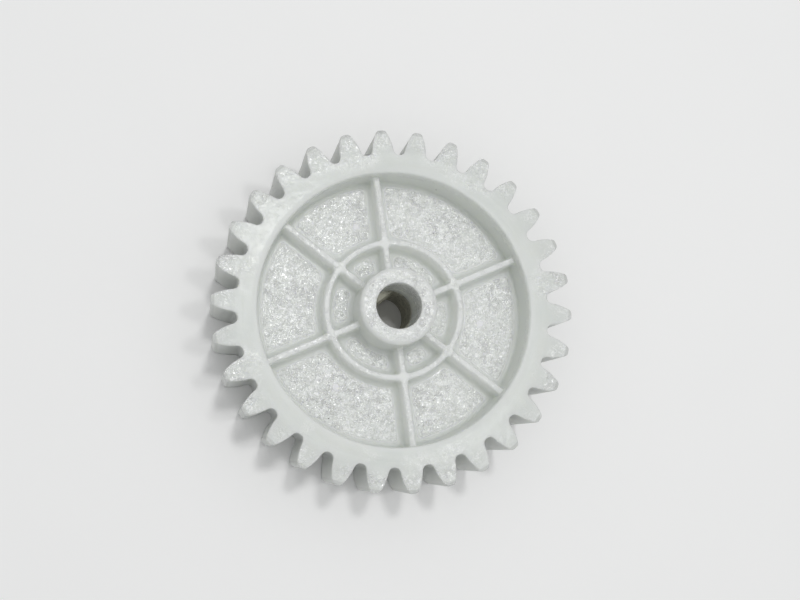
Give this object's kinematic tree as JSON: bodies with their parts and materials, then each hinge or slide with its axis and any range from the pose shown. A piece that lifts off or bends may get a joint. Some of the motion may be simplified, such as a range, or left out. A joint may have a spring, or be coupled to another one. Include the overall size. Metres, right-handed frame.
{
  "type": "spur gear",
  "caption": "Straight-toothed plastic spur gear with a ribbed web, a ring rib, a raised hub and a steel D-bore insert that drives it from a flatted shaft.",
  "frame": {"origin": "on the gear axis, in the plane of the back face that the gear lies on", "axes": "+Z along the bore towards the proud hub face (front); +X through the centre of a tooth"},
  "size_m": [0.08, 0.0796, 0.0213],
  "materials": {
    "natural_acetal": "natural translucent moulded plastic, semi-matt, with mottled, slightly greasy pocket floors",
    "insert_steel": "dark, dull steel as turned"
  },
  "bodies": {
    "root": {"gear_moulding": "natural_acetal", "d_bore_insert": "insert_steel"}
  },
  "joints": []
}
